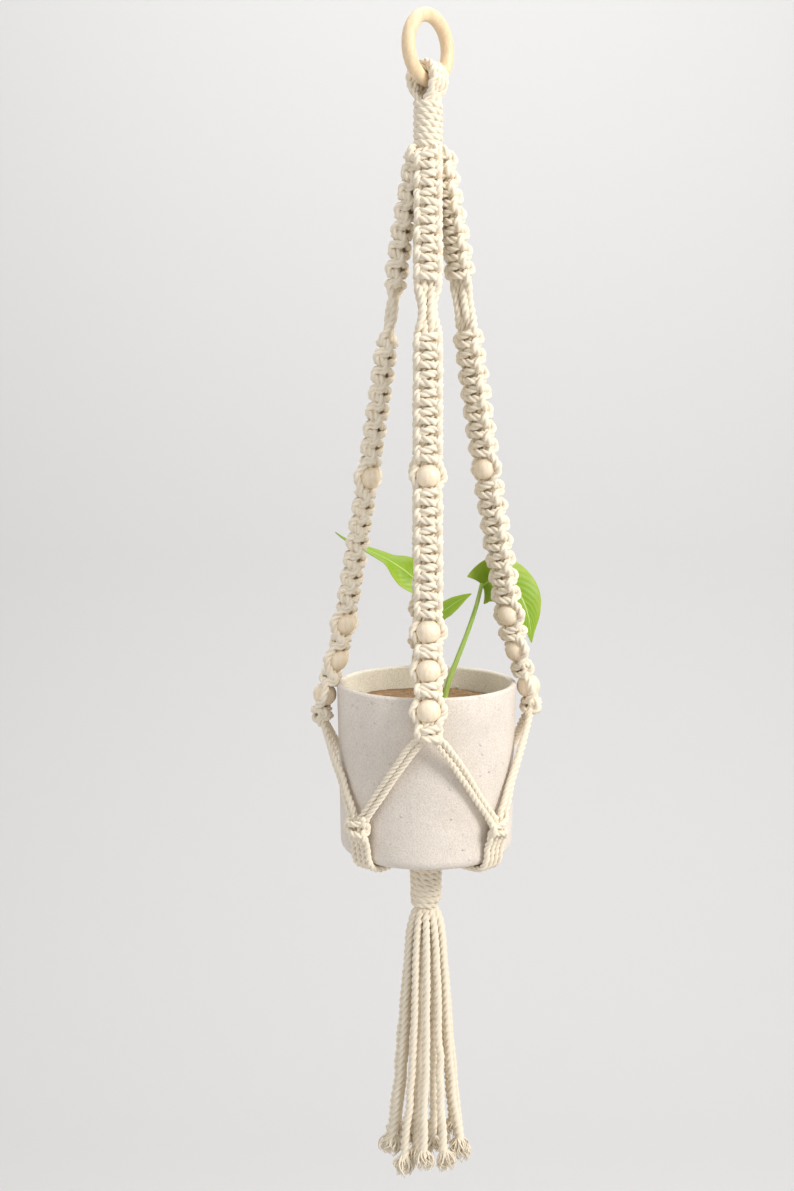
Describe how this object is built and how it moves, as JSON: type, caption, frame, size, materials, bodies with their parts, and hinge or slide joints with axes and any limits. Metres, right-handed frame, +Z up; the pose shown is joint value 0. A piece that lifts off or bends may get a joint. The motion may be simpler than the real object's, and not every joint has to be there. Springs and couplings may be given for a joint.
{
  "type": "hanging planter",
  "caption": "Knotted cotton plant hanger on a wood ring: beaded square-knot arms, a sling holding a round pot with a trailing plant, and a long tassel.",
  "frame": {"origin": "hook seat: the inner top of the wood ring, where a hook bears", "axes": "+Z up, along the hanging line; -Y is the front; +X to the right seen from the front"},
  "size_m": [0.1595, 0.1552, 0.7928],
  "materials": {
    "ring_wood": "sanded, clear oiled beech",
    "bead_wood": "smooth turned, unvarnished",
    "cotton_cord": "twisted natural cotton",
    "stoneware": "matt, lightly speckled",
    "soil": "loose potting soil",
    "leaf": "waxy leaf",
    "stem": "smooth green stem"
  },
  "bodies": {
    "ring": {"hanging_ring": "ring_wood"},
    "hanger": {"ring_loops": "cotton_cord", "top_core": "cotton_cord", "top_wrap": "cotton_cord", "front_arm_fillers": "cotton_cord", "front_arm_knots": "cotton_cord", "right_arm_fillers": "cotton_cord", "right_arm_knots": "cotton_cord", "back_arm_fillers": "cotton_cord", "back_arm_knots": "cotton_cord", "left_arm_fillers": "cotton_cord", "left_arm_knots": "cotton_cord", "front_cords_to_left": "cotton_cord", "front_cords_to_right": "cotton_cord", "right_cords_to_front": "cotton_cord", "right_cords_to_back": "cotton_cord", "back_cords_to_right": "cotton_cord", "back_cords_to_left": "cotton_cord", "left_cords_to_back": "cotton_cord", "left_cords_to_front": "cotton_cord", "sling_knot_front_right": "cotton_cord", "sling_knot_back_right": "cotton_cord", "sling_knot_back_left": "cotton_cord", "sling_knot_front_left": "cotton_cord", "base_cords_front_right": "cotton_cord", "base_cords_back_right": "cotton_cord", "base_cords_back_left": "cotton_cord", "base_cords_front_left": "cotton_cord", "base_gather": "cotton_cord", "bottom_wrap": "cotton_cord"},
    "pot": {"pot": "stoneware", "soil": "soil", "left_leaf": "leaf", "right_leaf": "leaf", "small_leaf": "leaf", "stems": "stem"},
    "tassel": {"tassel_top": "cotton_cord", "tassel_cords": "cotton_cord"},
    "front_bead_1": {"front_bead_1": "bead_wood"},
    "front_bead_2": {"front_bead_2": "bead_wood"},
    "front_bead_3": {"front_bead_3": "bead_wood"},
    "front_bead_4": {"front_bead_4": "bead_wood"},
    "right_bead_1": {"right_bead_1": "bead_wood"},
    "right_bead_2": {"right_bead_2": "bead_wood"},
    "right_bead_3": {"right_bead_3": "bead_wood"},
    "right_bead_4": {"right_bead_4": "bead_wood"},
    "back_bead_1": {"back_bead_1": "bead_wood"},
    "back_bead_2": {"back_bead_2": "bead_wood"},
    "back_bead_3": {"back_bead_3": "bead_wood"},
    "back_bead_4": {"back_bead_4": "bead_wood"},
    "left_bead_1": {"left_bead_1": "bead_wood"},
    "left_bead_2": {"left_bead_2": "bead_wood"},
    "left_bead_3": {"left_bead_3": "bead_wood"},
    "left_bead_4": {"left_bead_4": "bead_wood"}
  },
  "joints": [
    {"name": "swing_on_ring", "type": "hinge", "parent": "ring", "child": "hanger", "pos_m": [0, 0, -0.0365], "axis": [0.6293, 0.7771, 0], "range_deg": [-18, 18]},
    {"name": "front_bead_1_spin", "type": "hinge", "parent": "hanger", "child": "front_bead_1", "pos_m": [0, -0.03967, -0.29024], "axis": [0, 0.1582, 0.9874], "continuous": true},
    {"name": "front_bead_2_spin", "type": "hinge", "parent": "hanger", "child": "front_bead_2", "pos_m": [0, -0.05619, -0.38927], "axis": [0, 0.184, 0.9829], "continuous": true},
    {"name": "front_bead_3_spin", "type": "hinge", "parent": "hanger", "child": "front_bead_3", "pos_m": [0, -0.06172, -0.41385], "axis": [0, 0.247, 0.969], "continuous": true},
    {"name": "front_bead_4_spin", "type": "hinge", "parent": "hanger", "child": "front_bead_4", "pos_m": [0, -0.06961, -0.43848], "axis": [0, 0.2907, 0.9568], "continuous": true},
    {"name": "right_bead_1_spin", "type": "hinge", "parent": "hanger", "child": "right_bead_1", "pos_m": [0.03967, 0, -0.28724], "axis": [-0.1582, 0, 0.9874], "continuous": true},
    {"name": "right_bead_2_spin", "type": "hinge", "parent": "hanger", "child": "right_bead_2", "pos_m": [0.05619, 0, -0.38627], "axis": [-0.184, 0, 0.9829], "continuous": true},
    {"name": "right_bead_3_spin", "type": "hinge", "parent": "hanger", "child": "right_bead_3", "pos_m": [0.06172, 0, -0.41085], "axis": [-0.247, 0, 0.969], "continuous": true},
    {"name": "right_bead_4_spin", "type": "hinge", "parent": "hanger", "child": "right_bead_4", "pos_m": [0.06961, 0, -0.43548], "axis": [-0.2907, 0, 0.9568], "continuous": true},
    {"name": "back_bead_1_spin", "type": "hinge", "parent": "hanger", "child": "back_bead_1", "pos_m": [0, 0.03967, -0.29024], "axis": [0, -0.1582, 0.9874], "continuous": true},
    {"name": "back_bead_2_spin", "type": "hinge", "parent": "hanger", "child": "back_bead_2", "pos_m": [0, 0.05619, -0.38927], "axis": [0, -0.184, 0.9829], "continuous": true},
    {"name": "back_bead_3_spin", "type": "hinge", "parent": "hanger", "child": "back_bead_3", "pos_m": [0, 0.06172, -0.41385], "axis": [0, -0.247, 0.969], "continuous": true},
    {"name": "back_bead_4_spin", "type": "hinge", "parent": "hanger", "child": "back_bead_4", "pos_m": [0, 0.06961, -0.43848], "axis": [0, -0.2907, 0.9568], "continuous": true},
    {"name": "left_bead_1_spin", "type": "hinge", "parent": "hanger", "child": "left_bead_1", "pos_m": [-0.03967, 0, -0.29324], "axis": [0.1582, 0, 0.9874], "continuous": true},
    {"name": "left_bead_2_spin", "type": "hinge", "parent": "hanger", "child": "left_bead_2", "pos_m": [-0.05619, 0, -0.39227], "axis": [0.184, 0, 0.9829], "continuous": true},
    {"name": "left_bead_3_spin", "type": "hinge", "parent": "hanger", "child": "left_bead_3", "pos_m": [-0.06172, 0, -0.41685], "axis": [0.247, 0, 0.969], "continuous": true},
    {"name": "left_bead_4_spin", "type": "hinge", "parent": "hanger", "child": "left_bead_4", "pos_m": [-0.06961, 0, -0.44148], "axis": [0.2907, 0, 0.9568], "continuous": true},
    {"name": "pot_turn", "type": "hinge", "parent": "hanger", "child": "pot", "pos_m": [0, 0, -0.5488], "axis": [0, 0, 1], "range_deg": [-2.5, 2.5]},
    {"name": "tassel_swing", "type": "hinge", "parent": "hanger", "child": "tassel", "pos_m": [0, 0, -0.59046], "axis": [1, 0, 0], "range_deg": [-20, 20]}
  ]
}
